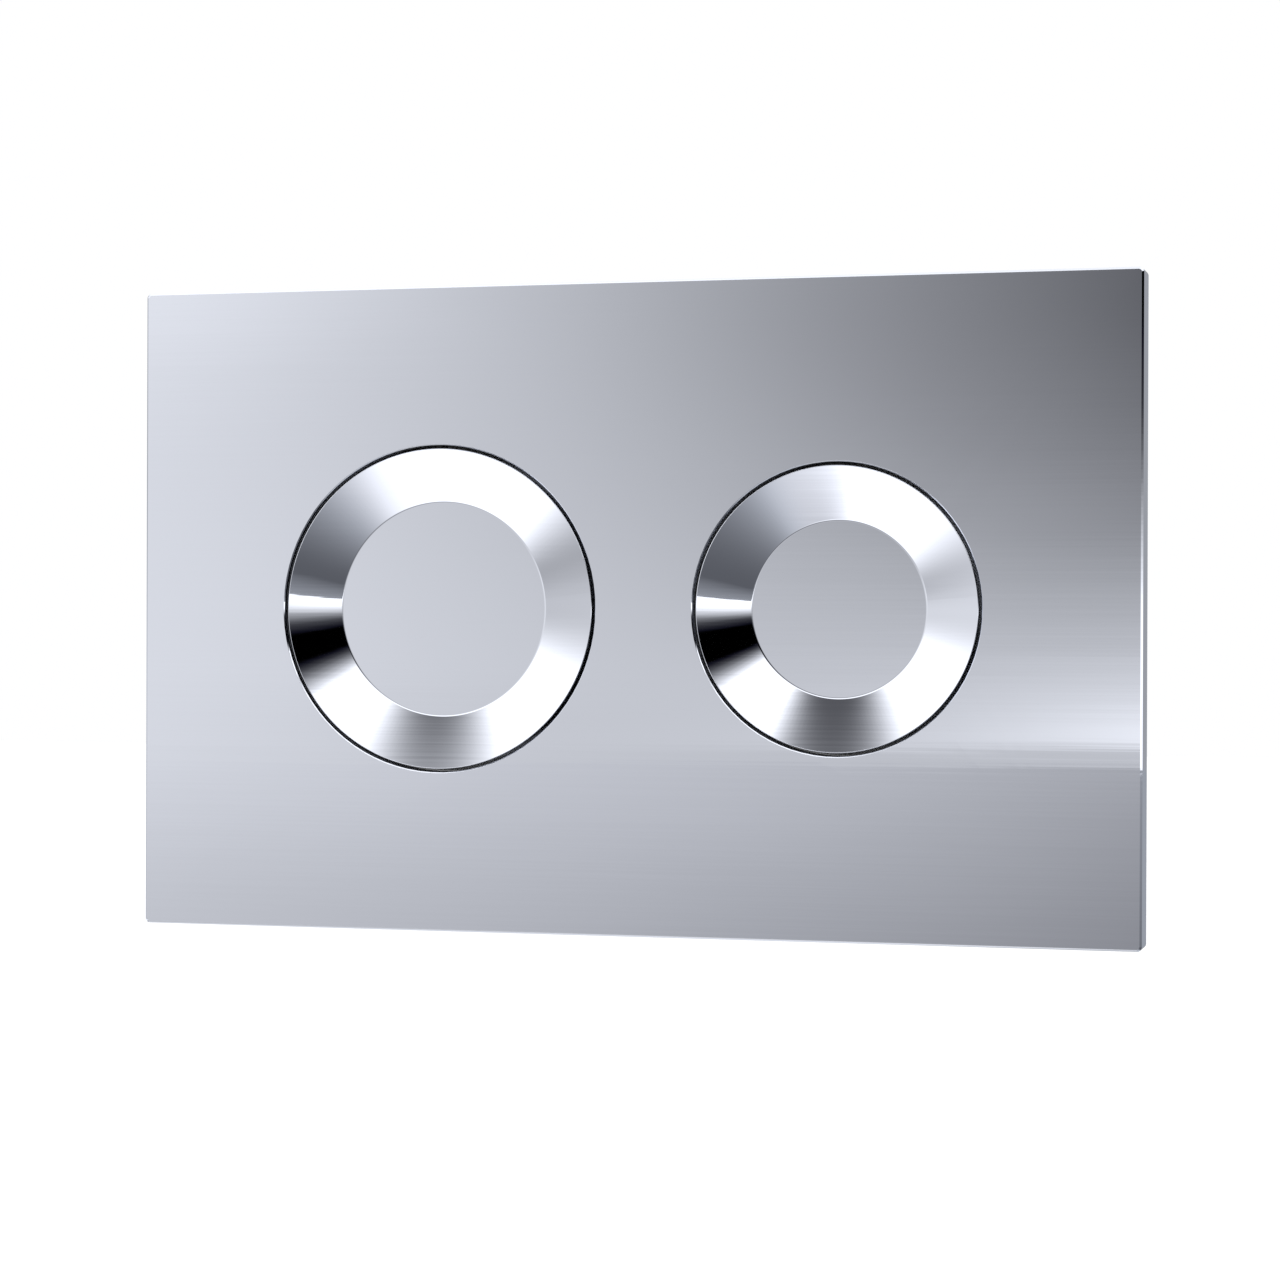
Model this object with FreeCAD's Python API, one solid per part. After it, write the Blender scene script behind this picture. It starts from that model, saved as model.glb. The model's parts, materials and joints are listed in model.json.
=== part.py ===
"""Dual flush button plate for a cistern that is built into a wall.

A folded stainless steel face plate carries two round dished push buttons, a large one for the
full flush and a small one for the half flush. Behind the steel are a moulded backing plate with
four snap hooks, one moulded housing for each button with its return spring, and the mounting
frame that the hooks snap into. The frame is drawn against the wall by two threaded rods, and
each button pushes a long plastic rod back to the flush valve.

Frame: X to the right and Z up as the plate hangs, Y into the wall. The origin is the middle of
the plate in the plane of the wall, Y = 0, and the front of the plate is at Y = -plate_depth.
All sizes are in millimetres.
"""

import FreeCAD
import Part
import math
import os

# Face plate: one sheet of steel with folded sides and welded corners
side_margin = 39.0
edge_margin = 40.65
middle_strip = 25.3
plate_depth = 10.0
plate_steel = 1.5
plate_corner = 1.2
plate_fold = 0.6
edge_bevel = 0.5
hole_bevel = 0.25

# Buttons: a pressed steel cap crimped over a moulded plunger
full_diameter = 82.0
half_diameter = 71.3
button_gap = 0.85
button_recess = 0.15
dish_ring = 13.5
dish_depth = 4.25
cap_steel = 1.0
rim_bevel = 0.1
crimp_width = 2.0
stroke = 7.0
end_clearance = 0.5

# Plunger
head_thickness = 2.1
head_ring = 2.0
head_fit = 0.1
stem_diameter = 16.0
stem_reach = 3.0
collar_height = 1.5
leg_count = 3
leg_width = 8.0
leg_thickness = 2.5
leg_inset = 10.0
leg_play = 0.25
lug_height = 1.5
lug_length = 4.0
lug_play = 0.1

# Return spring, with closed end coils
spring_wire = 1.2
spring_turns = 5.5
spring_end_pitch = 1.3
spring_steps = 12
spring_wire_sides = 6
spring_stem_play = 2.4
spring_collar_play = 0.6
spring_side_play = 1.4

# Push rod and its lock nut
rod_diameter = 8.0
rod_end_diameter = 6.5
rod_length = 78.0
rod_grip = 18.0
rod_end_length = 24.0
thread_play = 0.05
rod_nut_flats = 13.0
rod_nut_height = 5.0

# Button housing
well_wall = 2.0
well_bevel = 1.0
floor_thickness = 2.5
flange_width = 7.0
flange_thickness = 2.0
flange_rib_turn = 25.0
flange_rib_depth = 7.0
cup_wall = 2.0
cup_depth = 14.0
cup_floor = 3.0
boss_wall = 1.8
boss_length = 3.0
guide_play = 0.1
spoke_angle = 48.0
window_margin = 3.0
hub_margin = 4.0
cup_slot_width = 8.0
cup_slot_margin = 1.5
gusset_thickness = 2.0
gusset_play = 0.5
buffer_thickness = 1.1
buffer_margin = 0.5

# Backing plate
backing_thickness = 2.0
backing_play = 0.5
backing_corner = 1.5
backing_rim = 2.0
rim_clearance = 1.0
rib_thickness = 1.6
rib_clearance = 0.3

# Weld studs on the back of the steel and their nuts
stud_diameter = 3.0
stud_play = 0.2
stud_proud = 0.8
stud_inset = 8.0
nut_flats = 5.5
nut_height = 2.4

# Mounting frame
sleeve_room = 19.15
sleeve_wall = 2.0
sleeve_corner = 6.0
sleeve_back = 14.0
lip_room = 4.0
lip_thickness = 2.0
gasket_thickness = 1.0
gasket_inset = 0.6
gasket_play = 0.5
web_front = 10.0
web_thickness = 2.5
web_rib_spacing = 26.0
web_rib_count = 4

# Snap hooks and the windows that they catch in
hook_spread = 140.0
hook_width = 14.0
hook_thickness = 2.0
hook_play = 0.3
hook_nose = 1.5
hook_nose_length = 3.4
window_front = 2.4
window_play = 0.15
window_side_play = 0.3

# Fixing rods, with their thumb nuts and washers
fixing_diameter = 6.0
fixing_shank_diameter = 5.3
fixing_front_thread = 24.0
fixing_shank_length = 22.0
fixing_rear_thread = 30.0
fixing_point = 0.8
fixing_proud = 1.5
driver_slot_width = 1.0
driver_slot_depth = 1.5
levelling_travel = 4.0
fixing_hole_play = 0.4
thumb_nut_diameter = 14.0
washer_inset = 0.5
washer_thickness = 1.2
thumb_nut_height = 6.0
thumb_nut_collar = 1.6
thumb_nut_well_room = 2.0
thumb_nut_sleeve_room = 1.0
scallop_count = 6
scallop_diameter = 3.6

# Places along Y that follow from the sizes
plate_front = -plate_depth
steel_back = plate_front + plate_steel
backing_back = steel_back + backing_thickness
flange_back = backing_back + flange_thickness
rim_front = plate_front + button_recess
dish_front = rim_front + dish_depth
head_front = dish_front + cap_steel
head_back = head_front + head_thickness
crimp_back = head_back + cap_steel
well_front = crimp_back + stroke + end_clearance
well_back = well_front + floor_thickness
cup_seat = well_front + cup_depth
cup_back = cup_seat + cup_floor
boss_back = cup_back + boss_length
stem_back = boss_back + stem_reach
lip_back = -gasket_thickness
lip_front = lip_back - lip_thickness
rib_back = lip_front - rib_clearance
washer_front = web_front - washer_thickness

# Sizes of the buttons and housings that follow
full_radius = full_diameter / 2
half_radius = half_diameter / 2
full_opening = full_radius + button_gap
half_opening = half_radius + button_gap
stem_radius = stem_diameter / 2
coil_inner = stem_radius + spring_stem_play
coil_outer = coil_inner + spring_wire
cup_inner = coil_outer + spring_side_play
cup_outer = cup_inner + cup_wall
leg_angles = [90.0 + turn * 360.0 / leg_count for turn in range(leg_count)]
window_angles = [angle + 180.0 / leg_count for angle in leg_angles]

# Sizes of the plate, the sleeve and the lip that follow
plate_width = 2 * (side_margin + full_opening + half_opening) + middle_strip
plate_height = 2 * (edge_margin + full_opening)
full_x = full_opening + side_margin - plate_width / 2
half_x = plate_width / 2 - side_margin - half_opening
strip_x = (full_x + full_opening + half_x - half_opening) / 2
well_reach = plate_width / 2 - side_margin + well_wall
fixing_x = well_reach + thumb_nut_well_room + thumb_nut_diameter / 2
sleeve_inner_width = 2 * (fixing_x + thumb_nut_diameter / 2 + thumb_nut_sleeve_room)
sleeve_inner_height = 2 * (full_opening + well_wall + sleeve_room)
sleeve_width = sleeve_inner_width + 2 * sleeve_wall
sleeve_height = sleeve_inner_height + 2 * sleeve_wall
backing_width = plate_width - 2 * (plate_steel + backing_play)
backing_height = plate_height - 2 * (plate_steel + backing_play)
lip_width = backing_width - 2 * (backing_rim + lip_room)
lip_height = backing_height - 2 * (backing_rim + lip_room)

INTO_WALL = FreeCAD.Vector(0, 1, 0)
BUTTONS = {"full": (full_x, full_radius), "half": (half_x, half_radius)}


def point(x, y, z):
    return FreeCAD.Vector(x, y, z)


def trimmed_outline(corners, bevelled=False):
    """Closed wire through the corners, each a vector and the radius, or bevel, that trims it."""
    trimmed = []
    count = len(corners)
    for index, (corner, size) in enumerate(corners):
        before = (corners[index - 1][0] - corner).normalize()
        after = (corners[(index + 1) % count][0] - corner).normalize()
        if size <= 0:
            trimmed.append((corner, None, corner))
            continue
        half_angle = before.getAngle(after) / 2
        setback = size if bevelled else size / math.tan(half_angle)
        towards_centre = (before + after).normalize()
        middle = corner + towards_centre * (size / math.sin(half_angle) - size)
        trimmed.append((corner + before * setback, middle, corner + after * setback))
    edges = []
    for index, (start, middle, end) in enumerate(trimmed):
        if middle is not None and bevelled:
            edges.append(Part.LineSegment(start, end).toShape())
        elif middle is not None:
            edges.append(Part.Arc(start, middle, end).toShape())
        following = trimmed[(index + 1) % count][0]
        edges.append(Part.LineSegment(end, following).toShape())
    return Part.Wire(edges)


def sharp_face(points):
    return Part.Face(trimmed_outline([(corner, 0) for corner in points]))


def slab(width, height, front, back, corner=0.0, x=0.0, z=0.0):
    """Plate square to Y, with rounded corners, from the depth front to the depth back."""
    left, right = x - width / 2, x + width / 2
    low, high = z - height / 2, z + height / 2
    places = [(left, low), (right, low), (right, high), (left, high)]
    wire = trimmed_outline([(point(px, front, pz), corner) for px, pz in places])
    return Part.Face(wire).extrude(INTO_WALL * (back - front))


def turned(x, outline):
    """Solid of revolution about the Y line through x. A corner is (radius, y) or (radius, y, bevel)."""
    corners = []
    for radius, y, *bevel in outline:
        corners.append((point(x + radius, y, 0), bevel[0] if bevel else 0))
    wire = trimmed_outline(corners, bevelled=True)
    return Part.Face(wire).revolve(point(x, 0, 0), INTO_WALL, 360)


def rod(x, z, radius, front, back):
    return Part.makeCylinder(radius, back - front, point(x, front, z), INTO_WALL)


def hexagon(x, z, flats, front, back):
    reach = flats / 2 / math.cos(math.radians(30))
    corners = []
    for turn in range(6):
        angle = math.radians(60 * turn)
        corners.append(point(x + reach * math.cos(angle), front, z + reach * math.sin(angle)))
    return sharp_face(corners).extrude(INTO_WALL * (back - front))


def turned_to(shape, x, angle):
    """Copy of a shape built on the +X side of the button at x, turned to the angle round its axis."""
    copy = shape.copy()
    copy.rotate(point(x, 0, 0), INTO_WALL, -angle)
    return copy


def fused(shapes):
    return shapes[0].multiFuse(shapes[1:]).removeSplitter()


def flat_edges(shape, y):
    """Edges of a shape that lie in the plane at depth y."""
    chosen = []
    for edge in shape.Edges:
        box = edge.BoundBox
        if abs(box.YMin - y) < 1e-6 and abs(box.YMax - y) < 1e-6:
            chosen.append(edge)
    return chosen


def dish_back(cap_radius, radius):
    """Depth of the back of the cap's sloping ring at a radius."""
    slope = dish_depth / dish_ring
    front = dish_front - (radius - (cap_radius - dish_ring)) * slope
    return front + cap_steel * math.hypot(1, slope)


def frame_stud_places():
    """Places of the four studs just inside the corners of the sleeve."""
    reach_x = sleeve_inner_width / 2 - stud_inset
    reach_z = sleeve_inner_height / 2 - stud_inset
    return [(side * reach_x, up * reach_z) for side in (-1, 1) for up in (-1, 1)]


def housing_stud_places(x, cap_radius):
    """Places of the studs round a button, in the middle of the flange and between the legs."""
    reach = cap_radius + button_gap + well_wall + flange_width / 2
    places = []
    for angle in window_angles:
        turn = math.radians(angle)
        places.append((x + reach * math.cos(turn), reach * math.sin(turn)))
    return places


def leg_middle(cap_radius):
    """Radius of the middle of the plunger's legs."""
    return cap_radius - cap_steel - leg_inset


def stud(x, z, clamped_back):
    return rod(x, z, stud_diameter / 2, steel_back, clamped_back + nut_height + stud_proud)


def stud_hole(x, z, front, back):
    return rod(x, z, stud_diameter / 2 + stud_play, front, back)


def face_plate():
    """Folded steel tray with two round openings and the studs welded to its back."""
    sheet = slab(plate_width, plate_height, plate_front, 0, plate_corner)
    sheet = sheet.makeChamfer(edge_bevel, flat_edges(sheet, plate_front))
    inner_width = plate_width - 2 * plate_steel
    inner_height = plate_height - 2 * plate_steel
    tray = sheet.cut(slab(inner_width, inner_height, steel_back, 0, plate_fold))
    studs = [stud(x, z, backing_back) for x, z in frame_stud_places()]
    for x, cap_radius in BUTTONS.values():
        opening = cap_radius + button_gap
        tray = tray.cut(turned(x, [
            (0, plate_front),
            (opening + hole_bevel, plate_front),
            (opening, plate_front + hole_bevel),
            (opening, steel_back),
            (0, steel_back),
        ]))
        studs += [stud(sx, sz, flange_back) for sx, sz in housing_stud_places(x, cap_radius)]
    return fused([tray] + studs)


def snap_hook(side, up):
    """Springy hook whose nose catches in a window of the frame's sleeve."""
    root = backing_back - backing_thickness / 2
    outer = sleeve_inner_height / 2 - hook_play
    inner = outer - hook_thickness
    nose_front = window_front + window_play
    tip = nose_front + hook_nose_length
    left = side * hook_spread / 2 - hook_width / 2
    profile = [
        (root, inner),
        (tip, inner),
        (tip, (inner + outer) / 2),
        (nose_front, outer + hook_nose),
        (nose_front, outer),
        (root, outer),
    ]
    face = sharp_face([point(left, y, up * z) for y, z in profile])
    return face.extrude(point(hook_width, 0, 0))


def backing_plate():
    """Moulded plate behind the steel, with a rim, stiffening ribs and the snap hooks."""
    web = slab(backing_width, backing_height, steel_back, backing_back, backing_corner)
    rim = slab(backing_width, backing_height, backing_back, -rim_clearance, backing_corner)
    hollow_width = backing_width - 2 * backing_rim
    hollow_height = backing_height - 2 * backing_rim
    rim = rim.cut(slab(hollow_width, hollow_height, backing_back, -rim_clearance))
    seat_x = (lip_width + sleeve_width) / 4
    seat_z = (lip_height + sleeve_height) / 4
    ribs = [
        slab(backing_width - backing_rim, rib_thickness, backing_back, rib_back, z=-seat_z),
        slab(backing_width - backing_rim, rib_thickness, backing_back, rib_back, z=seat_z),
        slab(rib_thickness, backing_height - backing_rim, backing_back, rib_back, x=-seat_x),
        slab(rib_thickness, backing_height - backing_rim, backing_back, rib_back, x=seat_x),
        slab(rib_thickness, backing_height - backing_rim, backing_back, rib_back, x=strip_x),
    ]
    hooks = [snap_hook(side, up) for side in (-1, 1) for up in (-1, 1)]
    plate = fused([web, rim] + ribs + hooks)
    holes = [stud_hole(x, z, steel_back, backing_back) for x, z in frame_stud_places()]
    for x, cap_radius in BUTTONS.values():
        holes.append(rod(x, 0, cap_radius + button_gap, steel_back, backing_back))
        for stud_x, stud_z in housing_stud_places(x, cap_radius):
            holes.append(stud_hole(stud_x, stud_z, steel_back, backing_back))
    return plate.cut(Part.makeCompound(holes))


def hex_nut(x, z, front):
    nut = hexagon(x, z, nut_flats, front, front + nut_height)
    return nut.cut(rod(x, z, stud_diameter / 2 + thread_play, front, front + nut_height))


def backing_nuts():
    return Part.makeCompound([hex_nut(x, z, backing_back) for x, z in frame_stud_places()])


def housing_nuts(x, cap_radius):
    places = housing_stud_places(x, cap_radius)
    return Part.makeCompound([hex_nut(nut_x, nut_z, flange_back) for nut_x, nut_z in places])


def housing_body(x, cap_radius):
    """Turned form of the housing: flange, well, floor, spring cup and guide boss."""
    well_inner = cap_radius + button_gap
    well_outer = well_inner + well_wall
    flange = well_outer + flange_width
    guide = stem_radius + guide_play
    return turned(x, [
        (well_inner, backing_back),
        (flange, backing_back),
        (flange, flange_back),
        (well_outer, flange_back),
        (well_outer, well_back, well_bevel),
        (cup_outer, well_back),
        (cup_outer, cup_back),
        (guide + boss_wall, cup_back),
        (guide + boss_wall, boss_back),
        (guide, boss_back),
        (guide, cup_seat),
        (cup_inner, cup_seat),
        (cup_inner, well_front),
        (well_inner, well_front),
    ])


def upright_rib(x, profile):
    """Flat rib on the +X side of a button, from a profile of (radius, y)."""
    half = gusset_thickness / 2
    face = sharp_face([point(x + radius, y, -half) for radius, y in profile])
    return face.extrude(point(0, 0, gusset_thickness))


def cup_gusset(x, cap_radius):
    """Rib that props the spring cup from a spoke of the floor."""
    inside = cup_outer - cup_wall / 2
    outside = leg_middle(cap_radius) - leg_thickness / 2 - gusset_play
    return upright_rib(x, [
        (inside, well_back - floor_thickness / 2),
        (outside, well_back - floor_thickness / 2),
        (outside, well_back),
        (inside, cup_back - cup_floor),
    ])


def flange_rib(x, cap_radius):
    """Rib between the flange and the outside of the well."""
    wall = cap_radius + button_gap + well_wall
    return upright_rib(x, [
        (wall - well_wall / 2, flange_back - flange_thickness / 2),
        (wall + flange_width, flange_back - flange_thickness / 2),
        (wall + flange_width, flange_back),
        (wall, flange_back + flange_rib_depth),
        (wall - well_wall / 2, flange_back + flange_rib_depth),
    ])


def floor_windows(x, cap_radius):
    """The openings in the floor of the well, with a spoke left at each leg."""
    inner = cup_outer + hub_margin
    outer = cap_radius + button_gap - window_margin
    ring = rod(x, 0, outer, well_front, well_back).cut(rod(x, 0, inner, well_front, well_back))
    reach = 2 * outer
    half_width = reach * math.tan(math.radians(spoke_angle / 2))
    spoke = sharp_face([
        point(x, well_front, 0),
        point(x + reach, well_front, -half_width),
        point(x + reach, well_front, half_width),
    ])
    spoke = spoke.extrude(INTO_WALL * floor_thickness)
    for angle in leg_angles:
        ring = ring.cut(turned_to(spoke, x, angle))
    return ring


def leg_slot(x, cap_radius):
    """Opening in a spoke that guides one leg."""
    thickness = leg_thickness + 2 * leg_play
    width = leg_width + 2 * leg_play
    corner = point(x + leg_middle(cap_radius) - thickness / 2, well_front, -width / 2)
    return Part.makeBox(thickness, floor_thickness, width, corner)


def cup_slot(x):
    """Opening in the side of the spring cup, which shows the spring."""
    start = well_back + cup_slot_margin
    length = cup_seat - cup_slot_margin - start
    corner = point(x + stem_radius, start, -cup_slot_width / 2)
    return Part.makeBox(cup_outer, length, cup_slot_width, corner)


def button_housing(x, cap_radius):
    """Moulded well behind a button, with a spoked floor and a slotted spring cup."""
    body = [housing_body(x, cap_radius)]
    for angle in leg_angles:
        body.append(turned_to(cup_gusset(x, cap_radius), x, angle))
        for turn in (-flange_rib_turn, flange_rib_turn):
            body.append(turned_to(flange_rib(x, cap_radius), x, angle + turn))
    cuts = [floor_windows(x, cap_radius)]
    cuts += [turned_to(leg_slot(x, cap_radius), x, angle) for angle in leg_angles]
    cuts += [turned_to(cup_slot(x), x, angle) for angle in window_angles]
    for stud_x, stud_z in housing_stud_places(x, cap_radius):
        cuts.append(stud_hole(stud_x, stud_z, backing_back, flange_back))
    housing = fused(body)
    for cut in cuts:
        housing = housing.cut(cut)
    return housing


def buffer_ring(x):
    """Soft ring round the mouth of the spring cup that quietens the end of the stroke."""
    inner = cup_inner + buffer_margin
    outer = cup_outer + hub_margin - buffer_margin
    front = well_front - buffer_thickness
    return rod(x, 0, outer, front, well_front).cut(rod(x, 0, inner, front, well_front))


def spring_rise(turns):
    """Rise of the wire after some turns: slow in the closed coil at each end, even between them."""
    length = cup_seat - head_back - spring_wire
    open_turns = spring_turns - 2
    open_pitch = (length - 2 * spring_end_pitch) / open_turns
    closed = min(turns, 1) + max(turns - 1 - open_turns, 0)
    return closed * spring_end_pitch + min(max(turns - 1, 0), open_turns) * open_pitch


def return_spring(x):
    """Compression spring between the plunger's head and the seat of the cup, in short straight runs."""
    middle = (coil_inner + coil_outer) / 2
    radius = spring_wire / 2
    start = head_back + radius
    count = round(spring_turns * spring_steps)
    path = []
    for step in range(count + 1):
        turns = step * spring_turns / count
        angle = 2 * math.pi * turns
        place_x = x + middle * math.cos(angle)
        path.append(point(place_x, start + spring_rise(turns), middle * math.sin(angle)))
    section = []
    for side in range(spring_wire_sides):
        angle = 2 * math.pi * (side + 0.5) / spring_wire_sides
        section.append(path[0] + point(radius * math.cos(angle), radius * math.sin(angle), 0))
    wire = Part.makePolygon(section + section[:1])
    return Part.Wire(Part.makePolygon(path)).makePipeShell([wire], True, False, 1)


def button_cap(x, cap_radius):
    """Pressed steel cap: a flat round floor, a sloping ring, a skirt and a crimped edge."""
    floor_radius = cap_radius - dish_ring
    inner = cap_radius - cap_steel
    slope = math.atan2(dish_depth, dish_ring)
    return turned(x, [
        (0, dish_front),
        (floor_radius, dish_front),
        (cap_radius, rim_front, rim_bevel),
        (cap_radius, crimp_back),
        (inner - crimp_width, crimp_back),
        (inner - crimp_width, head_back),
        (inner, head_back),
        (inner, dish_back(cap_radius, inner)),
        (floor_radius + cap_steel * math.tan(slope / 2), head_front),
        (0, head_front),
    ])


def plunger_leg(x, cap_radius):
    """Leg with a hooked end, which stops the return of the button behind the floor of the well."""
    outer = leg_middle(cap_radius) + leg_thickness / 2
    inner = outer - leg_thickness
    lug_front = well_back + lug_play
    profile = [
        (inner, head_back - head_thickness / 2),
        (outer, head_back - head_thickness / 2),
        (outer, lug_front),
        (outer + lug_height, lug_front),
        ((inner + outer) / 2, lug_front + lug_length),
        (inner, lug_front + lug_length),
    ]
    face = sharp_face([point(x + radius, y, -leg_width / 2) for radius, y in profile])
    return face.extrude(point(0, 0, leg_width))


def plunger(x, cap_radius):
    """Moulded plunger: a head inside the cap, a guide stem and the hooked legs."""
    head = cap_radius - cap_steel - head_fit
    ring = head - head_ring
    collar = coil_inner - spring_collar_play
    body = turned(x, [
        (0, head_front),
        (ring, head_front),
        (ring, dish_back(cap_radius, ring) + head_fit),
        (head, dish_back(cap_radius, head) + head_fit),
        (head, head_back),
        (collar, head_back),
        (collar, head_back + collar_height),
        (stem_radius, head_back + collar_height),
        (stem_radius, stem_back),
        (0, stem_back),
    ])
    legs = [turned_to(plunger_leg(x, cap_radius), x, angle) for angle in leg_angles]
    body = fused([body] + legs)
    return body.cut(rod(x, 0, rod_diameter / 2 + thread_play, stem_back - rod_grip, stem_back))


def push_rod(x):
    """Plastic rod screwed into the stem, with a plain end that runs to the flush valve."""
    start = stem_back - rod_grip
    end = start + rod_length
    plain = end - rod_end_length
    return turned(x, [
        (0, start),
        (rod_diameter / 2, start),
        (rod_diameter / 2, plain),
        (rod_end_diameter / 2, plain),
        (rod_end_diameter / 2, end),
        (0, end),
    ])


def rod_nut(x):
    """Hexagonal lock nut against the end of the stem."""
    back = stem_back + rod_nut_height
    nut = hexagon(x, 0, rod_nut_flats, stem_back, back)
    return nut.cut(rod(x, 0, rod_diameter / 2 + thread_play, stem_back, back))


def levelling_slot(x):
    """Upright slot in an end web that lets the frame be set level on its rod."""
    radius = fixing_diameter / 2 + fixing_hole_play
    back = web_front + web_thickness
    return fused([
        rod(x, -levelling_travel, radius, web_front, back),
        rod(x, levelling_travel, radius, web_front, back),
        slab(2 * radius, 2 * levelling_travel, web_front, back, x=x),
    ])


def hook_window(side, up):
    """Window in the sleeve that holds the nose of one hook."""
    width = hook_width + 2 * window_side_play
    length = hook_nose_length + 2 * window_play
    x = side * hook_spread / 2
    z = up * (sleeve_height - sleeve_wall) / 2
    return slab(width, 2 * sleeve_wall, window_front, window_front + length + window_play, x=x, z=z)


def end_web(side):
    """Wall across one end of the sleeve, with the ribs behind it."""
    wall = sleeve_inner_width / 2 + sleeve_wall / 2
    inner = fixing_x - thumb_nut_diameter / 2
    width = wall - inner
    x = side * (wall + inner) / 2
    solids = [slab(width, sleeve_inner_height + sleeve_wall, web_front, web_front + web_thickness, x=x)]
    for number in range(web_rib_count):
        z = (number - (web_rib_count - 1) / 2) * web_rib_spacing
        solids.append(slab(width, rib_thickness, web_front, sleeve_back, x=x, z=z))
    return solids


def mounting_frame():
    """Moulded frame: a lip on the wall, a sleeve into the opening and two end webs for the rods."""
    lip = slab(lip_width, lip_height, lip_front, lip_back, sleeve_corner)
    sleeve = slab(sleeve_width, sleeve_height, lip_front, sleeve_back, sleeve_corner)
    inner_corner = sleeve_corner - sleeve_wall
    hollow = slab(sleeve_inner_width, sleeve_inner_height, lip_front, sleeve_back, inner_corner)
    frame = fused([fused([lip, sleeve]).cut(hollow)] + end_web(-1) + end_web(1))
    cuts = [levelling_slot(side * fixing_x) for side in (-1, 1)]
    cuts += [hook_window(side, up) for side in (-1, 1) for up in (-1, 1)]
    return frame.cut(Part.makeCompound(cuts))


def wall_gasket():
    """Foam strip between the frame's lip and the wall."""
    outer_width = lip_width - 2 * gasket_inset
    outer_height = lip_height - 2 * gasket_inset
    opening_width = sleeve_width + 2 * gasket_play
    opening_height = sleeve_height + 2 * gasket_play
    strip = slab(outer_width, outer_height, lip_back, 0, sleeve_corner)
    return strip.cut(slab(opening_width, opening_height, lip_back, 0, sleeve_corner))


def fixing_rod(x):
    """Rod with a thread at each end, a thinner shank between and a screwdriver slot at the front."""
    start = washer_front - thumb_nut_height - fixing_proud
    shank_front = start + fixing_front_thread
    shank_back = shank_front + fixing_shank_length
    end = shank_back + fixing_rear_thread
    thread = fixing_diameter / 2
    shank = fixing_shank_diameter / 2
    body = turned(x, [
        (0, start),
        (thread, start),
        (thread, shank_front),
        (shank, shank_front),
        (shank, shank_back),
        (thread, shank_back),
        (thread, end - fixing_point),
        (thread - fixing_point, end),
        (0, end),
    ])
    corner = point(x - thread, start, -driver_slot_width / 2)
    return body.cut(Part.makeBox(fixing_diameter, driver_slot_depth, driver_slot_width, corner))


def thumb_nut(x):
    """Round nut with scallops for the fingers and a plain collar."""
    front = washer_front - thumb_nut_height
    collar_front = washer_front - thumb_nut_collar
    radius = thumb_nut_diameter / 2
    collar = radius - scallop_diameter / 2
    nut = turned(x, [
        (0, front),
        (radius, front),
        (radius, collar_front),
        (collar, collar_front),
        (collar, washer_front),
        (0, washer_front),
    ])
    cuts = [rod(x, 0, fixing_diameter / 2 + thread_play, front, washer_front)]
    for number in range(scallop_count):
        angle = 2 * math.pi * number / scallop_count
        place_x = x + radius * math.cos(angle)
        place_z = radius * math.sin(angle)
        cuts.append(rod(place_x, place_z, scallop_diameter / 2, front, collar_front))
    return nut.cut(Part.makeCompound(cuts))


def washer(x):
    disc = rod(x, 0, thumb_nut_diameter / 2 - washer_inset, washer_front, web_front)
    return disc.cut(rod(x, 0, fixing_diameter / 2 + stud_play, washer_front, web_front))


def pieces():
    """Every piece by name."""
    made = {
        "face_plate": face_plate(),
        "backing_plate": backing_plate(),
        "backing_nuts": backing_nuts(),
        "mounting_frame": mounting_frame(),
        "wall_gasket": wall_gasket(),
    }
    for side, x in (("left", -fixing_x), ("right", fixing_x)):
        made["fixing_rod_" + side] = fixing_rod(x)
        made["fixing_nut_" + side] = thumb_nut(x)
        made["fixing_washer_" + side] = washer(x)
    for button, (x, cap_radius) in BUTTONS.items():
        made[button + "_housing"] = button_housing(x, cap_radius)
        made[button + "_housing_nuts"] = housing_nuts(x, cap_radius)
        made[button + "_buffer_ring"] = buffer_ring(x)
        made[button + "_return_spring"] = return_spring(x)
        made[button + "_button_cap"] = button_cap(x, cap_radius)
        made[button + "_plunger"] = plunger(x, cap_radius)
        made[button + "_push_rod"] = push_rod(x)
        made[button + "_rod_nut"] = rod_nut(x)
    return made


def main():
    os.makedirs("parts", exist_ok=True)
    for name, shape in pieces().items():
        solids = shape.Solids
        if not solids or not all(solid.isValid() for solid in solids):
            raise ValueError(name + " isn't a valid solid")
        shape.exportStep(os.path.join("parts", name + ".step"))
        print(name, len(solids), "solid(s)", round(sum(solid.Volume for solid in solids), 1), "mm3")


main()
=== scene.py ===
import bmesh
import bpy
import json
import math
from mathutils import Matrix, Vector

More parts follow.
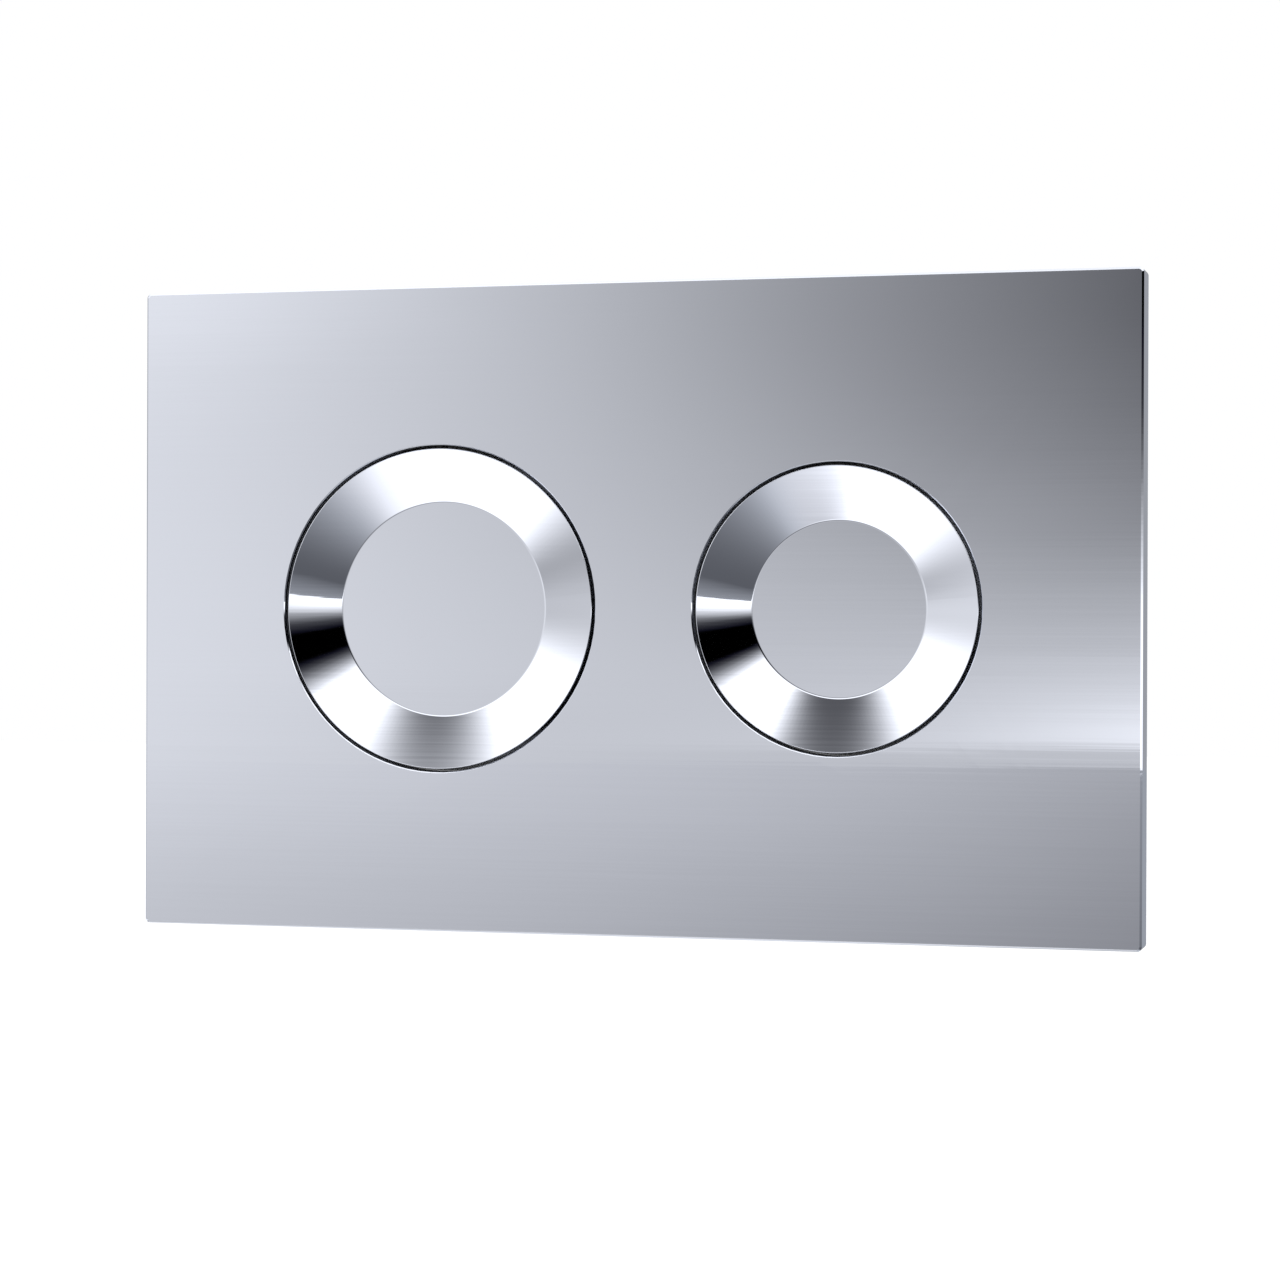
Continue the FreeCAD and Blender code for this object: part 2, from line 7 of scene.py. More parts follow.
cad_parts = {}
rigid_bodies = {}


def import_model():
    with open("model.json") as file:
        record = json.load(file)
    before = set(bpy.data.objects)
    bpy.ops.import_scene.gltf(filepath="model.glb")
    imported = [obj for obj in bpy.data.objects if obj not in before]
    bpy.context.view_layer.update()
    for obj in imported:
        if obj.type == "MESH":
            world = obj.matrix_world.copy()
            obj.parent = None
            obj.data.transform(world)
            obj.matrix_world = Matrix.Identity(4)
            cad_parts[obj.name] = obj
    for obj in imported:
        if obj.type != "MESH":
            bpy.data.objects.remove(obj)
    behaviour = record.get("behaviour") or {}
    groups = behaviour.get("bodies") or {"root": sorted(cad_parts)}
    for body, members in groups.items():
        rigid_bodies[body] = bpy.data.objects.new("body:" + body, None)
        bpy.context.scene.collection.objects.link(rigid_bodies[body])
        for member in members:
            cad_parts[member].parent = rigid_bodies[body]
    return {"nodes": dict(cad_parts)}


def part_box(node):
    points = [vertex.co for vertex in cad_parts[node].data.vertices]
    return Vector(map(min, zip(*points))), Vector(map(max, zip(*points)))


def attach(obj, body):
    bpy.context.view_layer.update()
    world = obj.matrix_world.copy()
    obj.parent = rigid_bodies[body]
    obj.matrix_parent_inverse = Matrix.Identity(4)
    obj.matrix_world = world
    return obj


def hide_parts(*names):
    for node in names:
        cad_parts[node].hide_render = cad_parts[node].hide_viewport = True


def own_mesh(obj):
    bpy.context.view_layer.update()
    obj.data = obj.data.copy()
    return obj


for leftover in list(bpy.data.objects):
    bpy.data.objects.remove(leftover)
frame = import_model()
bpy.context.view_layer.update()
nodes = frame["nodes"]

# Sizes are in metres, as in the frame
MM = 0.001

# Rods with cut threads. The crest is a share of the pitch
PUSH_ROD_RADIUS = 4.0 * MM
PUSH_ROD_ROOT = 3.4 * MM
PUSH_ROD_PITCH = 1.5 * MM
PUSH_ROD_END_RADIUS = 3.25 * MM
PUSH_ROD_END_LENGTH = 24.0 * MM
FIXING_ROD_RADIUS = 3.0 * MM
FIXING_ROD_ROOT = 2.4 * MM
FIXING_ROD_PITCH = 1.0 * MM
FIXING_THREAD = (FIXING_ROD_RADIUS, FIXING_ROD_ROOT, FIXING_ROD_PITCH)
FIXING_SHANK_RADIUS = 2.65 * MM
FIXING_SHANK_LENGTH = 22.0 * MM
FIXING_FRONT_THREAD = 24.0 * MM
FIXING_POINT = 0.8 * MM
DRIVER_SLOT_WIDTH = 1.0 * MM
DRIVER_SLOT_DEPTH = 1.5 * MM
END_CHAMFER = 0.4 * MM
THREAD_CREST = 0.125
AROUND = 40
ROWS_PER_PITCH = 8

# Return springs, with the y of the seat behind them
SPRING_RADIUS = 11.0 * MM
SPRING_WIRE_RADIUS = 0.6 * MM
SPRING_TURNS = 5.5
SPRING_END_PITCH = 1.3 * MM
SPRING_SEAT = 20.0 * MM
SPRING_STEPS_PER_TURN = 56
SPRING_WIRE_SIDES = 12

# Button caps: pressed steel, a flat floor inside a sloping ring, with a skirt and a crimped edge
CAP_HEIGHT = 8.35 * MM
CAP_STEEL = 1.0 * MM
DISH_RING = 13.5 * MM
DISH_DEPTH = 4.25 * MM
CRIMP_WIDTH = 2.0 * MM
CREASE_ROUND = 1.7 * MM
RIM_ROUND = 0.18 * MM
CRIMP_ROUND = 0.2 * MM
CAP_AROUND = 180
ARC_STEP = math.radians(12)

# Joining of points and shading of edges
SAME_POINT = 0.001 * MM
CAD_SAME_POINT = 0.002 * MM
SHARP_EDGE = math.radians(32)
BEVELLED_EDGE = math.radians(30)
BEVEL_SEGMENTS = 2


# Node graph helper

class Graph:
    """Short way to write a node tree. A value is a socket or a number."""

    # Sockets of the Mix node, which have the same names for numbers and for colours
    MIX_FACTOR = 0
    NUMBER_A, NUMBER_B, NUMBER_OUT = 2, 3, 0
    COLOUR_A, COLOUR_B, COLOUR_OUT = 6, 7, 2

    def __init__(self, tree):
        self.tree = tree
        tree.nodes.clear()

    def node(self, kind, **settings):
        made = self.tree.nodes.new(kind)
        for name, value in settings.items():
            setattr(made, name, value)
        return made

    def put(self, socket, value):
        if isinstance(value, bpy.types.NodeSocket):
            self.tree.links.new(value, socket)
        else:
            socket.default_value = value

    def math(self, operation, *values):
        made = self.node("ShaderNodeMath", operation=operation)
        for socket, value in zip(made.inputs, values):
            self.put(socket, value)
        return made.outputs[0]

    def add(self, a, b):
        return self.math("ADD", a, b)

    def mul(self, a, b):
        return self.math("MULTIPLY", a, b)

    def ramp(self, value, start, end, low=0.0, high=1.0):
        """Smooth step from low at start to high at end."""
        made = self.node("ShaderNodeMapRange", interpolation_type="SMOOTHSTEP")
        for name, given in (("Value", value), ("From Min", start), ("From Max", end)):
            self.put(made.inputs[name], given)
        made.inputs["To Min"].default_value = low
        made.inputs["To Max"].default_value = high
        return made.outputs["Result"]

    def window(self, value, start, full, fading, end):
        """1 between full and fading, with smooth steps from start and to end."""
        return self.mul(self.ramp(value, start, full), self.ramp(value, end, fading))

    def varied(self, value, spread, middle, share):
        """Number that varies about a middle by a share, as the value goes through its spread."""
        return self.ramp(value, *spread, middle * (1 - share), middle * (1 + share))

    def line(self, value, at, level, slope):
        """Straight line that has a level at one value."""
        return self.add(self.mul(self.add(value, -at), slope), level)

    def mix(self, factor, a, b):
        """a + (b - a) * factor, for single numbers."""
        made = self.node("ShaderNodeMix", data_type="FLOAT", clamp_factor=False)
        self.put(made.inputs[self.MIX_FACTOR], factor)
        self.put(made.inputs[self.NUMBER_A], a)
        self.put(made.inputs[self.NUMBER_B], b)
        return made.outputs[self.NUMBER_OUT]

    def blend(self, factor, a, b):
        """Colour between a and b."""
        made = self.node("ShaderNodeMix", data_type="RGBA")
        self.put(made.inputs[self.MIX_FACTOR], factor)
        self.put(made.inputs[self.COLOUR_A], a)
        self.put(made.inputs[self.COLOUR_B], b)
        return made.outputs[self.COLOUR_OUT]

    def noise(self, vector, scale, detail, roughness):
        made = self.node("ShaderNodeTexNoise")
        self.put(made.inputs["Vector"], vector)
        made.inputs["Scale"].default_value = scale
        made.inputs["Detail"].default_value = detail
        made.inputs["Roughness"].default_value = roughness
        return made.outputs["Fac"]

    def scaled(self, vector, x, y, z):
        made = self.node("ShaderNodeVectorMath", operation="MULTIPLY")
        self.put(made.inputs[0], vector)
        made.inputs[1].default_value = (x, y, z)
        return made.outputs[0]

    def objects_place(self):
        return self.node("ShaderNodeTexCoord").outputs["Object"]

    def bump(self, height, strength, distance):
        made = self.node("ShaderNodeBump")
        made.inputs["Strength"].default_value = strength
        made.inputs["Distance"].default_value = distance
        self.put(made.inputs["Height"], height)
        return made.outputs[0]


def shaded(colour, share):
    """Colour with an alpha, darker or lighter by a share."""
    return (*(min(1.0, share * c) for c in colour), 1)


def material(name, colour):
    """New material with its graph and its shader. The colour is the one of the plain view."""
    made = bpy.data.materials.new(name)
    made.use_nodes = True
    made.diffuse_color = (*colour, 1)
    graph = Graph(made.node_tree)
    shader = graph.node("ShaderNodeBsdfPrincipled")
    out = graph.node("ShaderNodeOutputMaterial")
    graph.put(out.inputs["Surface"], shader.outputs[0])
    return made, graph, shader


# Materials

# Where most of a noise lies, which is between 0 and 1
WIDE_SPREAD = (0.3, 0.7)
NARROW_SPREAD = (0.35, 0.65)


def brushed_steel(name, colour, roughness, tilt):
    """Polished steel with a fine level grain: long thin streaks that tilt the surface up and down."""
    made, g, shader = material(name, colour)
    place = g.scaled(g.objects_place(), *GRAIN_PER_METRE)
    streaks = g.noise(place, scale=1.0, detail=1.0, roughness=0.4)
    lean = g.mul(g.add(streaks, -0.5), tilt)
    up = g.node("ShaderNodeCombineXYZ")
    g.put(up.inputs["Z"], lean)
    tilted = g.node("ShaderNodeVectorMath", operation="ADD")
    g.put(tilted.inputs[0], g.node("ShaderNodeNewGeometry").outputs["Normal"])
    g.put(tilted.inputs[1], up.outputs[0])
    normal = g.node("ShaderNodeVectorMath", operation="NORMALIZE")
    g.put(normal.inputs[0], tilted.outputs[0])
    g.put(shader.inputs["Normal"], normal.outputs[0])
    share = g.ramp(streaks, *NARROW_SPREAD)
    g.put(shader.inputs["Base Color"], g.blend(share, shaded(colour, 0.998), shaded(colour, 1.002)))
    g.put(shader.inputs["Roughness"], g.varied(streaks, WIDE_SPREAD, roughness, share=0.15))
    shader.inputs["Metallic"].default_value = 1.0
    shader.inputs["Specular Tint"].default_value = (*GRAZING_TINT, 1)
    return made


def moulded(name, colour, roughness):
    """Moulded plastic: an even colour with faint flow marks and a fine spark-eroded texture."""
    made, g, shader = material(name, colour)
    place = g.objects_place()
    cloud = g.noise(place, scale=35, detail=3.0, roughness=0.55)
    share = g.ramp(cloud, *WIDE_SPREAD)
    g.put(shader.inputs["Base Color"], g.blend(share, shaded(colour, 0.93), shaded(colour, 1.04)))
    texture = g.noise(place, scale=2600, detail=2.0, roughness=0.6)
    g.put(shader.inputs["Roughness"], g.varied(texture, WIDE_SPREAD, roughness, share=0.1))
    g.put(shader.inputs["Normal"], g.bump(texture, strength=0.6, distance=0.02 * MM))
    return made


def foam(name, colour):
    """Closed-cell foam, whose small cells show as pits, with painted shade that darkens each pit."""
    made, g, shader = material(name, colour)
    cells = g.node("ShaderNodeTexVoronoi", feature="F1")
    g.put(cells.inputs["Vector"], g.objects_place())
    cells.inputs["Scale"].default_value = 1500
    height = cells.outputs["Distance"]
    g.put(shader.inputs["Normal"], g.bump(height, strength=0.8, distance=0.2 * MM))
    # Painted shade: the base colour is darkest in the middle of each cell, where the pit lies, and
    # lighter towards its rim.
    g.put(shader.inputs["Base Color"], g.blend(height, shaded(colour, 1.0), shaded(colour, 1.6)))
    shader.inputs["Roughness"].default_value = FOAM_ROUGHNESS
    return made


def plated(name, colour, roughness):
    """Bright zinc plate: metal with a cloudy bluish cast."""
    made, g, shader = material(name, colour)
    place = g.objects_place()
    cloud = g.noise(place, scale=260, detail=4.0, roughness=0.6)
    cool = (*(c * cast for c, cast in zip(colour, ZINC_CAST)), 1)
    share = g.ramp(cloud, *NARROW_SPREAD)
    g.put(shader.inputs["Base Color"], g.blend(share, (*colour, 1), cool))
    g.put(shader.inputs["Roughness"], g.varied(cloud, WIDE_SPREAD, roughness, share=0.2))
    shader.inputs["Metallic"].default_value = 1.0
    return made


STEEL = (0.747, 0.773, 0.846)
STEEL_ROUGHNESS = 0.02
GRAZING_TINT = (0.82, 0.85, 0.91)
GRAIN_PER_METRE = (16, 60, 2500)
PLATE_TILT = 0.0036
BUTTON_TILT = 0.0060
ZINC_CAST = (0.90, 0.96, 1.03)
FOAM_ROUGHNESS = 0.9
finishes = {
    "plate_steel": brushed_steel("plate_steel_brushed", STEEL, STEEL_ROUGHNESS, PLATE_TILT),
    "button_steel": brushed_steel("button_steel_brushed", STEEL, STEEL_ROUGHNESS, BUTTON_TILT),
    "housing_plastic": moulded("housing_plastic_moulded", (0.20, 0.205, 0.215), roughness=0.45),
    "frame_plastic": moulded("frame_plastic_moulded", (0.30, 0.31, 0.33), roughness=0.5),
    "plunger_plastic": moulded("plunger_plastic_moulded", (0.84, 0.84, 0.81), roughness=0.38),
    "rod_plastic": moulded("rod_plastic_moulded", (0.82, 0.83, 0.84), roughness=0.35),
    "nut_plastic": moulded("nut_plastic_moulded", (0.10, 0.10, 0.11), roughness=0.45),
    "gasket_foam": foam("gasket_foam_cells_painted_pit_shade", (0.12, 0.12, 0.13)),
    "buffer_rubber": moulded("buffer_rubber_matt", (0.06, 0.06, 0.065), roughness=0.7),
    "spring_steel": plated("spring_steel_wire", (0.60, 0.60, 0.61), roughness=0.28),
    "zinc_steel": plated("zinc_steel_plated", (0.66, 0.67, 0.70), roughness=0.25),
}
for node in nodes.values():
    for slot in node.material_slots:
        slot.material = finishes[slot.material.name.split(".")[0]]


# Turned pieces, rods and springs

def new_piece(name, mesh, finish, body, node):
    """Finished object from a bmesh, which rides on a body in place of a CAD node."""
    bmesh.ops.remove_doubles(mesh, verts=mesh.verts, dist=SAME_POINT)
    bmesh.ops.recalc_face_normals(mesh, faces=mesh.faces)
    for face in mesh.faces:
        face.smooth = True
    for edge in mesh.edges:
        edge.smooth = len(edge.link_faces) == 2 and edge.calc_face_angle() < SHARP_EDGE
    data = bpy.data.meshes.new(name)
    mesh.to_mesh(data)
    mesh.free()
    data.materials.append(finishes[finish])
    piece = bpy.data.objects.new(name, data)
    bpy.context.scene.collection.objects.link(piece)
    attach(piece, body)
    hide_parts(node)
    return piece


def ring(mesh, x, y, radius, around=AROUND):
    """Circle of vertices about the Y line through x."""
    made = []
    for step in range(around):
        angle = 2 * math.pi * step / around
        made.append(mesh.verts.new((x + radius * math.cos(angle), y, radius * math.sin(angle))))
    return made


def join_rings(mesh, first, second):
    """Band of faces between two circles of vertices."""
    for step in range(len(first)):
        following = (step + 1) % len(first)
        mesh.faces.new((first[step], first[following], second[following], second[step]))


def rounded_outline(corners):
    """Points (radius, y) of an outline. Its corners are (radius, y, rounding), arcs where rounded."""
    points = []
    for index, (radius, y, rounding) in enumerate(corners):
        corner = Vector((radius, y))
        if not rounding:
            points.append(corner)
            continue
        into = (corner - Vector(corners[index - 1][:2])).normalized()
        out = (Vector(corners[index + 1][:2]) - corner).normalized()
        turn = math.acos(into.dot(out))
        centre = corner + (out - into).normalized() * rounding / math.cos(turn / 2)
        start = corner - into * rounding * math.tan(turn / 2) - centre
        end = corner + out * rounding * math.tan(turn / 2) - centre
        steps = math.ceil(turn / ARC_STEP) + 1
        for step in range(steps + 1):
            share = turn * step / steps
            away = start * math.sin(turn - share) + end * math.sin(share)
            points.append(centre + away / math.sin(turn))
    return points


def button_cap(button):
    """Cap turned from its section, so that its sloping ring mirrors the room without a break."""
    node = button + "_button_cap"
    low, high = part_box(node)
    x = (low[0] + high[0]) / 2
    radius = (high[0] - low[0]) / 2
    back = high[1]
    front = back - CAP_HEIGHT
    floor = radius - DISH_RING
    inner = radius - CAP_STEEL
    dish = front + DISH_DEPTH
    slope = math.atan2(DISH_DEPTH, DISH_RING)
    ring_back = dish - (inner - floor) * math.tan(slope) + CAP_STEEL / math.cos(slope)
    outline = rounded_outline([
        (0, dish, 0),
        (floor, dish, CREASE_ROUND),
        (radius, front, RIM_ROUND),
        (radius, back, CRIMP_ROUND),
        (inner - CRIMP_WIDTH, back, CRIMP_ROUND),
        (inner - CRIMP_WIDTH, back - CAP_STEEL, 0),
        (inner, back - CAP_STEEL, 0),
        (inner, ring_back, 0),
        (floor + CAP_STEEL * math.tan(slope / 2), dish + CAP_STEEL, 0),
        (0, dish + CAP_STEEL, 0),
    ])
    mesh = bmesh.new()
    rings = [ring(mesh, x, y, reach, CAP_AROUND) for reach, y in outline[1:-1]]
    for before, after in zip(rings, rings[1:]):
        join_rings(mesh, before, after)
    mesh.faces.new(rings[0])
    mesh.faces.new(reversed(rings[-1]))
    piece = new_piece(node + "_turned", mesh, "button_steel", button + "_button", node)
    shade = piece.modifiers.new("shade", "WEIGHTED_NORMAL")
    shade.keep_sharp = True
    return piece


def plain_stretch(mesh, x, front, back, front_radius, back_radius):
    """Plain round or conical stretch of a rod."""
    first, last = ring(mesh, x, front, front_radius), ring(mesh, x, back, back_radius)
    join_rings(mesh, first, last)
    return first, last


def thread_height(phase):
    """Height of the ridge from 0 to 1 at a share of the pitch: flat root, even flanks, flat crest."""
    from_crest = abs(phase - 0.5) * 2
    flank = 1 - 2 * THREAD_CREST
    return min(1.0, max(0.0, (1 - THREAD_CREST - from_crest) / flank))


def thread_stretch(mesh, x, front, back, radius, root, pitch):
    """Helical ridge on a round core. Rows follow the helix, and run out to the core at both ends."""
    row_step = pitch / ROWS_PER_PITCH
    row_count = math.ceil((back - front) / row_step) + 2 * ROWS_PER_PITCH
    rows = []
    for number in range(row_count + 1):
        height = thread_height((number % ROWS_PER_PITCH + 0.5) / ROWS_PER_PITCH)
        row = []
        for step in range(AROUND):
            rise = number - ROWS_PER_PITCH + ROWS_PER_PITCH * step / AROUND
            y = min(max(front + rise * row_step, front), back)
            run_out = min(1.0, (y - front) / pitch, (back - y) / pitch)
            here = root + (radius - root) * height * run_out
            angle = 2 * math.pi * step / AROUND
            row.append(mesh.verts.new((x + here * math.cos(angle), y, here * math.sin(angle))))
        rows.append(row)
    for number in range(row_count):
        for step in range(AROUND - 1):
            low, high = rows[number], rows[number + 1]
            mesh.faces.new((low[step], low[step + 1], high[step + 1], high[step]))
    for number in range(row_count - ROWS_PER_PITCH):
        low, high = rows[number + ROWS_PER_PITCH], rows[number + ROWS_PER_PITCH + 1]
        mesh.faces.new((rows[number][-1], low[0], high[0], rows[number + 1][-1]))
    return rows[0], rows[-1]


def closed_rod(mesh, stretches):
    """Joins the stretches of a rod end to end and closes its two ends."""
    for (_, before), (after, _) in zip(stretches, stretches[1:]):
        join_rings(mesh, before, after)
    mesh.faces.new(stretches[0][0])
    mesh.faces.new(reversed(stretches[-1][1]))


def push_rod(button):
    """Plastic rod with a thread on its front part and a plain end."""
    node = button + "_push_rod"
    low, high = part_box(node)
    x = (low[0] + high[0]) / 2
    plain = high[1] - PUSH_ROD_END_LENGTH
    tip = high[1] - END_CHAMFER
    end = PUSH_ROD_END_RADIUS
    mesh = bmesh.new()
    closed_rod(mesh, [
        thread_stretch(mesh, x, low[1], plain, PUSH_ROD_RADIUS, PUSH_ROD_ROOT, PUSH_ROD_PITCH),
        plain_stretch(mesh, x, plain, tip, end, end),
        plain_stretch(mesh, x, tip, high[1], end, end - END_CHAMFER),
    ])
    return new_piece(node + "_threaded", mesh, "rod_plastic", button + "_button", node)


def fixing_rod(side):
    """Zinc-plated rod with a thread at each end and a screwdriver slot in its front end."""
    node = "fixing_rod_" + side
    low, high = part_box(node)
    x = (low[0] + high[0]) / 2
    shank_front = low[1] + FIXING_FRONT_THREAD
    shank_back = shank_front + FIXING_SHANK_LENGTH
    point = high[1] - FIXING_POINT
    mesh = bmesh.new()
    closed_rod(mesh, [
        thread_stretch(mesh, x, low[1], shank_front, *FIXING_THREAD),
        plain_stretch(mesh, x, shank_front, shank_back, FIXING_SHANK_RADIUS, FIXING_SHANK_RADIUS),
        thread_stretch(mesh, x, shank_back, point, *FIXING_THREAD),
        plain_stretch(mesh, x, point, high[1], FIXING_ROD_ROOT, FIXING_ROD_ROOT - END_CHAMFER),
    ])
    piece = new_piece(node + "_threaded", mesh, "zinc_steel", "plate", node)
    cut_slot(piece, x, low[1])
    return piece


def cut_slot(piece, x, front):
    """Cuts the screwdriver slot across the front end of a rod, with a box wider than the rod."""
    cutter_mesh = bmesh.new()
    size = (4 * FIXING_ROD_RADIUS, 2 * DRIVER_SLOT_DEPTH, DRIVER_SLOT_WIDTH)
    place = Matrix.Translation((x, front, 0)) @ Matrix.Diagonal((*size, 1))
    bmesh.ops.create_cube(cutter_mesh, size=1.0, matrix=place)
    data = bpy.data.meshes.new("slot_cutter")
    cutter_mesh.to_mesh(data)
    cutter_mesh.free()
    cutter = bpy.data.objects.new("slot_cutter", data)
    bpy.context.scene.collection.objects.link(cutter)
    cut = piece.modifiers.new("slot", "BOOLEAN")
    cut.operation = "DIFFERENCE"
    cut.solver = "EXACT"
    cut.object = cutter
    bpy.context.view_layer.update()
    graph = bpy.context.evaluated_depsgraph_get()
    done = bpy.data.meshes.new_from_object(piece.evaluated_get(graph))
    piece.modifiers.clear()
    piece.data = done
    bpy.data.objects.remove(cutter)


def spring_rise(turns, length):
    """Rise of the wire after some turns: slow in the closed coil at each end, even between them."""
    open_turns = SPRING_TURNS - 2
    open_pitch = (length - 2 * SPRING_END_PITCH) / open_turns
    closed = min(turns, 1) + max(turns - 1 - open_turns, 0)
    return closed * SPRING_END_PITCH + min(max(turns - 1, 0), open_turns) * open_pitch


def return_spring(button):
    """Round wire wound into a spring with closed ends."""
    node = button + "_return_spring"
    low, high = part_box(button + "_push_rod")
    x = (low[0] + high[0]) / 2
    cap_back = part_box(button + "_button_cap")[1][1]
    front = cap_back - CAP_STEEL + SPRING_WIRE_RADIUS
    length = SPRING_SEAT - SPRING_WIRE_RADIUS - front
    count = round(SPRING_TURNS * SPRING_STEPS_PER_TURN)
    mesh = bmesh.new()
    rings = []
    for step in range(count + 1):
        turns = step * SPRING_TURNS / count
        angle = 2 * math.pi * turns
        out = Vector((math.cos(angle), 0, math.sin(angle)))
        middle = Vector((x, front + spring_rise(turns, length), 0)) + out * SPRING_RADIUS
        rings.append([])
        for side in range(SPRING_WIRE_SIDES):
            around = 2 * math.pi * side / SPRING_WIRE_SIDES
            away = out * math.cos(around) + Vector((0, math.sin(around), 0))
            rings[-1].append(mesh.verts.new(middle + away * SPRING_WIRE_RADIUS))
    for before, after in zip(rings, rings[1:]):
        for side in range(SPRING_WIRE_SIDES):
            following = (side + 1) % SPRING_WIRE_SIDES
            mesh.faces.new((before[side], before[following], after[following], after[side]))
    mesh.faces.new(rings[0])
    mesh.faces.new(reversed(rings[-1]))
    piece = new_piece(node + "_wire", mesh, "spring_steel", "plate", node)
    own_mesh(piece)
    return piece


for button in ("full", "half"):
    button_cap(button)
    push_rod(button)
    return_spring(button)
for side in ("left", "right"):
    fixing_rod(side)


# Edges

SHEET_EDGE = 0.05 * MM
GASKET_EDGE = 0.10 * MM
WASHER_EDGE = 0.12 * MM
SMALL_EDGE = 0.15 * MM
MOULDED_EDGE = 0.20 * MM
THUMB_NUT_EDGE = 0.25 * MM
ROD_NUT_EDGE = 0.30 * MM


def soften(name, width, clamp=True):
    """Joins the faces of a CAD node, rounds its edges a little and evens the shading."""
    node = nodes[name]
    weld = node.modifiers.new("join", "WELD")
    weld.merge_threshold = CAD_SAME_POINT
    bevel = node.modifiers.new("edges", "BEVEL")
    bevel.width = width
    bevel.segments = BEVEL_SEGMENTS
    bevel.limit_method = "ANGLE"
    bevel.angle_limit = BEVELLED_EDGE
    bevel.use_clamp_overlap = clamp
    shade = node.modifiers.new("shade", "WEIGHTED_NORMAL")
    shade.keep_sharp = False


for button in ("full", "half"):
    soften(button + "_housing", MOULDED_EDGE)
    soften(button + "_plunger", MOULDED_EDGE)
    soften(button + "_rod_nut", ROD_NUT_EDGE)
    soften(button + "_housing_nuts", SMALL_EDGE)
    soften(button + "_buffer_ring", MOULDED_EDGE)
soften("face_plate", SHEET_EDGE, clamp=False)
soften("backing_plate", SMALL_EDGE)
soften("backing_nuts", SMALL_EDGE)
soften("mounting_frame", MOULDED_EDGE)
soften("wall_gasket", GASKET_EDGE)
for side in ("left", "right"):
    soften("fixing_nut_" + side, THUMB_NUT_EDGE)
    soften("fixing_washer_" + side, WASHER_EDGE)


# Floor

FLOOR_DROP = 0.5
FLOOR_REACH = 12.0
FLOOR_GREY = (0.93, 0.93, 0.93)
floor_mesh = bmesh.new()
bmesh.ops.create_grid(floor_mesh, x_segments=1, y_segments=1, size=FLOOR_REACH)
floor_data = bpy.data.meshes.new("pale_floor")
floor_mesh.to_mesh(floor_data)
floor_mesh.free()
floor = bpy.data.objects.new("pale_floor", floor_data)
floor.location = (0, 0, -FLOOR_DROP)
bpy.context.scene.collection.objects.link(floor)
pale, g, shader = material("pale_floor_matt", FLOOR_GREY)
shader.inputs["Base Color"].default_value = (*FLOOR_GREY, 1)
shader.inputs["Roughness"].default_value = 1.0
shader.inputs["Specular IOR Level"].default_value = 0.0
floor_data.materials.append(pale)
floor.visible_glossy = False


# Light

# The room that the steel mirrors is given by direction, in degrees: azimuth from the front towards
# the right, and elevation. Two numbers say where a change starts and where it is complete, four
# numbers are a window with soft ends. Levels are the brightness that the plate then shows.

# Wall, darker at the far left and black at the right, with a bright strip low at the right
WALL_PALES = (-65.5, -39.9)
WALL_LEVELS = (0.32, 0.736)
WALL_FADES = (-28.25, 1.77)
FADE_RISES = (-3.70, 6.22)
FADE_LOW_SHARE = 0.557
STRIP_GROWS = (-19.71, 32.1)
STRIP_TOP = 4.295
STRIP_FULL = -16.7
STRIP_LEVEL = 11.07
STRIP_DIP = 0.4
STRIP_DIP_WINDOW = (-5.0, 8.0, 13.0, 28.0)

# Small differences at the two ends of the plate
RIGHT_END = (-12.0, -6.0, -3.0, 5.0)
RIGHT_LOW = (-0.2, -1.6)
RIGHT_LOW_ADDS = 0.05
RIGHT_HIGH = (-0.6, 0.9, 1.8, 3.2)
RIGHT_HIGH_ADDS = -0.025
LEFT_END = (-34.0, -27.0, -23.0, -17.0)
LEFT_HIGH = (4.3, 6.6)
LEFT_HIGH_ADDS = 0.06

# White panel above the wall. Its foot and its softness change along it. Towards the right it
# starts a little lower and comes up more slowly
PANEL_LEFT = -50.0
PANEL_RIGHT = 30.0
PANEL_FOOT = 1.07
PANEL_FOOT_SLOPE = 0.1803
PANEL_SOFTNESS = 46.72
PANEL_SOFTNESS_SLOPE = -0.4028
PANEL_LEVEL = 5.556
PANEL_TURNS = (-5.0, 10.0)
TURN_LOWERS = 0.067
TURN_SLOWS = 0.45
TURN_LIFTS = 0.37

# Dark ceiling, then white again overhead and at both sides
CEILING_STARTS = (16.63, 33.02)
CEILING_SLOPE = 0.0291
CEILING_PIVOT = -12.0
CEILING_LEVEL = 0.0938
OVERHEAD = (48.0, 60.0)
SIDES_MIDDLE = -15.0
SIDES_START = (55.0, 75.0)
SIDES_RISE = (26.0, 44.0)
OVERHEAD_LEVEL = 1.4

# Ground, darker to the right, with a white panel low on the left. Its levels hold at one elevation
# and change with it
GROUND_AT = -6.0
GROUND_LEFT_LEVEL = 0.7586
GROUND_LEFT_SLOPE = 0.033
GROUND_RIGHT_LEVEL = 0.1494
GROUND_RIGHT_SLOPE = 0.0409
GROUND_DARKENS = (-46.48, 9.227)
GROUND_FAR_LEFT = (-46.1, -40.5)
GROUND_FAR_LEFT_SHARE = 0.5755
GROUND_DARKEST = 0.106
LOW_PANEL_COMES = (-7.339, -53.22)
LOW_PANEL_SIDE = (27.12, -58.73)
LOW_PANEL_AT = -20.0
LOW_PANEL_SLOPE = -0.4365
LOW_PANEL_ENDS = (-26.93, -36.37)
LOW_PANEL_LEVELS = (7.906, 0.0178)
BELOW_COMES = (-45.0, -58.0)
BELOW_LEVEL = 0.48

